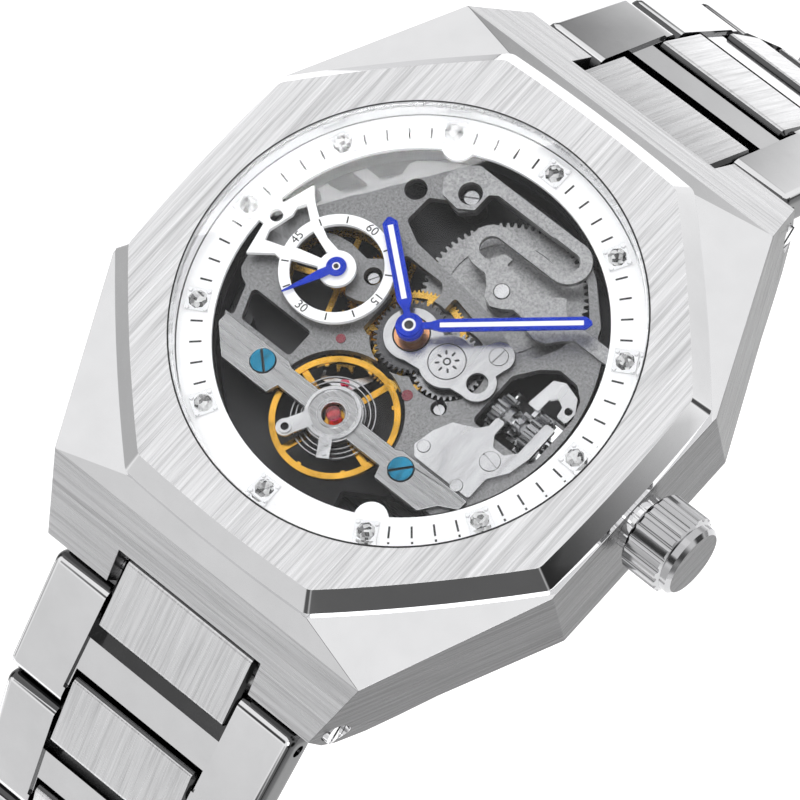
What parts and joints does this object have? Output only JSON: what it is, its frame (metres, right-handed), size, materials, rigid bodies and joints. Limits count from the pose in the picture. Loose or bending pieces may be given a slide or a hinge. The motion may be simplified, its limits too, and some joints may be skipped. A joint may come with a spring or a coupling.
{
  "type": "skeleton automatic wristwatch",
  "caption": "Steel wristwatch with an octagonal bezel, open-worked movement, small seconds, fluted crown and an integrated link bracelet with a folding clasp.",
  "frame": {"origin": "centre of the case back's outer face", "axes": "+Z out of the dial, +Y towards 12 o'clock, +X towards the crown at 3 o'clock"},
  "size_m": [0.0476, 0.1016, 0.0861],
  "materials": {
    "case_steel": "polished stainless steel with finely brushed end faces",
    "bezel_steel": "top brushed along 12 to 6, polished slope",
    "crystal_glass": "clear sapphire crystal",
    "brushed_links": "brushed along the bracelet",
    "polished_links": "mirror polished steel",
    "clasp_steel": "brushed steel",
    "dial_white": "white lacquered ring",
    "stone_setting": "polished settings with four grains each",
    "stone": "small faceted clear stones",
    "blue_hands": "vivid blue lacquer with a white stripe",
    "movement_black": "blackened metal",
    "frosted_plate": "frosted grey metal",
    "polished_plate": "polished steel",
    "gold": "gilt brass",
    "dark_wheel": "dark grey steel",
    "blued_steel": "bright blued steel",
    "screw_steel": "polished steel screws",
    "ruby": "ruby bearing jewels",
    "rotor_steel": "brushed rotor"
  },
  "bodies": {
    "case": {"case_body": "case_steel", "bezel": "bezel_steel", "crystal": "crystal_glass", "case_back": "case_steel", "back_window": "crystal_glass", "lug_pins": "case_steel", "crown_tube": "case_steel", "chapter_ring": "dial_white", "stone_seats": "stone_setting", "hour_stones": "stone", "movement_ring": "movement_black", "mainplate": "frosted_plate", "front_plate": "frosted_plate", "barrel_bridge": "frosted_plate", "cover_plate": "polished_plate", "setting_plate": "polished_plate", "balance_bridge": "polished_plate", "regulator": "polished_plate", "bridge_screws": "blued_steel", "plate_screws": "screw_steel", "jewels": "ruby", "rear_bridge": "frosted_plate", "hairspring": "polished_plate"},
    "rotor": {"rotor": "rotor_steel"},
    "barrel": {"barrel": "gold"},
    "centre_train": {"centre_wheel": "gold", "minute_hand": "blue_hands"},
    "third_wheel": {"third_wheel": "gold"},
    "seconds_train": {"fourth_wheel": "gold", "seconds_hand": "blue_hands"},
    "escape_wheel": {"escape_wheel": "gold"},
    "pallet_fork": {"pallet_fork": "polished_plate"},
    "balance": {"balance_wheel": "gold"},
    "minute_wheel": {"minute_wheel": "gold"},
    "hour_train": {"hour_wheel": "dark_wheel", "hour_hand": "blue_hands"},
    "winding": {"clutch_wheel": "polished_plate", "winding_pinion": "polished_plate"},
    "crown": {"crown": "case_steel", "winding_stem": "polished_plate"},
    "yoke": {"yoke": "movement_black"},
    "clasp_cover": {"clasp_cover": "clasp_steel"},
    "clasp_outer_blade": {"clasp_outer_blade": "clasp_steel"},
    "clasp_inner_blade": {"clasp_inner_blade": "clasp_steel"},
    "upper_centre_link_1": {"upper_centre_link_1": "brushed_links"},
    "upper_outer_link_1": {"upper_outer_link_1": "polished_links"},
    "upper_centre_link_2": {"upper_centre_link_2": "brushed_links"},
    "upper_outer_link_2": {"upper_outer_link_2": "polished_links"},
    "upper_centre_link_3": {"upper_centre_link_3": "brushed_links"},
    "upper_outer_link_3": {"upper_outer_link_3": "polished_links"},
    "upper_centre_link_4": {"upper_centre_link_4": "brushed_links"},
    "upper_outer_link_4": {"upper_outer_link_4": "polished_links"},
    "lower_centre_link_1": {"lower_centre_link_1": "brushed_links"},
    "lower_outer_link_1": {"lower_outer_link_1": "polished_links"},
    "lower_centre_link_2": {"lower_centre_link_2": "brushed_links"},
    "lower_outer_link_2": {"lower_outer_link_2": "polished_links"},
    "lower_centre_link_3": {"lower_centre_link_3": "brushed_links"},
    "lower_outer_link_3": {"lower_outer_link_3": "polished_links"},
    "lower_centre_link_4": {"lower_centre_link_4": "brushed_links"},
    "lower_outer_link_4": {"lower_outer_link_4": "polished_links"}
  },
  "joints": [
    {"name": "rotor_spin", "type": "hinge", "parent": "case", "child": "rotor", "pos_m": [0, 0, 0.0025], "axis": [0, 0, 1], "continuous": true},
    {"name": "seconds_spin", "type": "hinge", "parent": "case", "child": "seconds_train", "pos_m": [-0.0074, 0.0003, 0.0075], "axis": [0, 0, -1], "continuous": true},
    {"name": "third_spin", "type": "hinge", "parent": "case", "child": "third_wheel", "pos_m": [-0.0037, 0.00236, 0.0062], "axis": [0, 0, -1], "continuous": true},
    {"name": "minute_spin", "type": "hinge", "parent": "case", "child": "centre_train", "pos_m": [0, 0, 0.008], "axis": [0, 0, -1], "continuous": true},
    {"name": "barrel_spin", "type": "hinge", "parent": "case", "child": "barrel", "pos_m": [0.00285, 0.00655, 0.0075], "axis": [0, 0, -1], "continuous": true},
    {"name": "escape_spin", "type": "hinge", "parent": "case", "child": "escape_wheel", "pos_m": [-0.0039, -0.0026, 0.0071], "axis": [0, 0, -1], "continuous": true},
    {"name": "minute_wheel_spin", "type": "hinge", "parent": "case", "child": "minute_wheel", "pos_m": [0.0034, 0, 0.0084], "axis": [0, 0, -1], "continuous": true},
    {"name": "hour_spin", "type": "hinge", "parent": "case", "child": "hour_train", "pos_m": [0, 0, 0.0088], "axis": [0, 0, -1], "continuous": true},
    {"name": "balance_swing", "type": "hinge", "parent": "case", "child": "balance", "pos_m": [-0.0003, -0.0081, 0.0084], "axis": [0, 0, 1], "range_deg": [-135, 135]},
    {"name": "pallet_rock", "type": "hinge", "parent": "case", "child": "pallet_fork", "pos_m": [-0.00175, -0.0055, 0.00705], "axis": [0, 0, 1], "range_deg": [-3, 3]},
    {"name": "crown_turn", "type": "hinge", "parent": "case", "child": "winding", "pos_m": [0.011, 0, 0.0071], "axis": [1, 0, 0], "continuous": true},
    {"name": "crown_pull", "type": "slide", "parent": "winding", "child": "crown", "axis": [1, 0, 0], "range_m": [0, 0.0009]},
    {"name": "yoke_rock", "type": "hinge", "parent": "case", "child": "yoke", "pos_m": [0.01245, 0.00275, 0.0084], "axis": [0, 0, 1], "range_deg": [-2, 2]},
    {"name": "upper_bend_1", "type": "hinge", "parent": "case", "child": "upper_centre_link_1", "pos_m": [0, 0.02464, 0.0023], "axis": [-1, 0, 0], "range_deg": [0, 7]},
    {"name": "upper_bend_2", "type": "hinge", "parent": "upper_centre_link_1", "child": "upper_outer_link_1", "pos_m": [0, 0.02693, -0.00007], "axis": [-1, 0, 0], "range_deg": [-5, 13]},
    {"name": "upper_bend_3", "type": "hinge", "parent": "upper_outer_link_1", "child": "upper_centre_link_2", "pos_m": [0, 0.03226, -0.00521], "axis": [-1, 0, 0], "range_deg": [-3, 3]},
    {"name": "upper_bend_4", "type": "hinge", "parent": "upper_centre_link_2", "child": "upper_outer_link_2", "pos_m": [0, 0.03429, -0.00781], "axis": [-1, 0, 0], "range_deg": [-4, 8]},
    {"name": "upper_bend_5", "type": "hinge", "parent": "upper_outer_link_2", "child": "upper_centre_link_3", "pos_m": [0, 0.03832, -0.01402], "axis": [-1, 0, 0], "range_deg": [-3, 6]},
    {"name": "upper_bend_6", "type": "hinge", "parent": "upper_centre_link_3", "child": "upper_outer_link_3", "pos_m": [0, 0.03982, -0.01696], "axis": [-1, 0, 0], "range_deg": [-4, 9]},
    {"name": "upper_bend_7", "type": "hinge", "parent": "upper_outer_link_3", "child": "upper_centre_link_4", "pos_m": [0, 0.04259, -0.02382], "axis": [-1, 0, 0], "range_deg": [-3, 9]},
    {"name": "upper_bend_8", "type": "hinge", "parent": "upper_centre_link_4", "child": "upper_outer_link_4", "pos_m": [0, 0.04355, -0.02698], "axis": [-1, 0, 0], "range_deg": [-4, 10]},
    {"name": "lower_bend_1", "type": "hinge", "parent": "case", "child": "lower_centre_link_1", "pos_m": [0, -0.02464, 0.0023], "axis": [1, 0, 0], "range_deg": [0, 7]},
    {"name": "lower_bend_2", "type": "hinge", "parent": "lower_centre_link_1", "child": "lower_outer_link_1", "pos_m": [0, -0.02693, -0.00007], "axis": [1, 0, 0], "range_deg": [-5, 13]},
    {"name": "lower_bend_3", "type": "hinge", "parent": "lower_outer_link_1", "child": "lower_centre_link_2", "pos_m": [0, -0.03226, -0.00521], "axis": [1, 0, 0], "range_deg": [-3, 3]},
    {"name": "lower_bend_4", "type": "hinge", "parent": "lower_centre_link_2", "child": "lower_outer_link_2", "pos_m": [0, -0.03429, -0.00781], "axis": [1, 0, 0], "range_deg": [-4, 8]},
    {"name": "lower_bend_5", "type": "hinge", "parent": "lower_outer_link_2", "child": "lower_centre_link_3", "pos_m": [0, -0.03832, -0.01402], "axis": [1, 0, 0], "range_deg": [-3, 6]},
    {"name": "lower_bend_6", "type": "hinge", "parent": "lower_centre_link_3", "child": "lower_outer_link_3", "pos_m": [0, -0.03982, -0.01696], "axis": [1, 0, 0], "range_deg": [-4, 9]},
    {"name": "lower_bend_7", "type": "hinge", "parent": "lower_outer_link_3", "child": "lower_centre_link_4", "pos_m": [0, -0.04259, -0.02382], "axis": [1, 0, 0], "range_deg": [-3, 9]},
    {"name": "lower_bend_8", "type": "hinge", "parent": "lower_centre_link_4", "child": "lower_outer_link_4", "pos_m": [0, -0.04355, -0.02698], "axis": [1, 0, 0], "range_deg": [-4, 10]},
    {"name": "clasp_cover_hinge", "type": "hinge", "parent": "upper_outer_link_4", "child": "clasp_cover", "pos_m": [0, 0.04509, -0.03422], "axis": [-1, 0, 0], "range_deg": [-10, 35]},
    {"name": "clasp_cover_fold", "type": "hinge", "parent": "clasp_cover", "child": "clasp_outer_blade", "pos_m": [0, 0.05283, -0.06712], "axis": [-1, 0, 0], "range_deg": [-80, 0]},
    {"name": "clasp_blade_fold", "type": "hinge", "parent": "clasp_outer_blade", "child": "clasp_inner_blade", "pos_m": [0, 0.0481, -0.04097], "axis": [1, 0, 0], "range_deg": [-90, 0]}
  ],
  "couplings": [
    {"joint": "third_spin", "follows": "seconds_spin", "ratio": -0.13333},
    {"joint": "minute_spin", "follows": "seconds_spin", "ratio": 0.016667},
    {"joint": "barrel_spin", "follows": "seconds_spin", "ratio": -0.0033333},
    {"joint": "escape_spin", "follows": "seconds_spin", "ratio": -10},
    {"joint": "minute_wheel_spin", "follows": "seconds_spin", "ratio": -0.0055556},
    {"joint": "hour_spin", "follows": "seconds_spin", "ratio": 0.0013889}
  ]
}
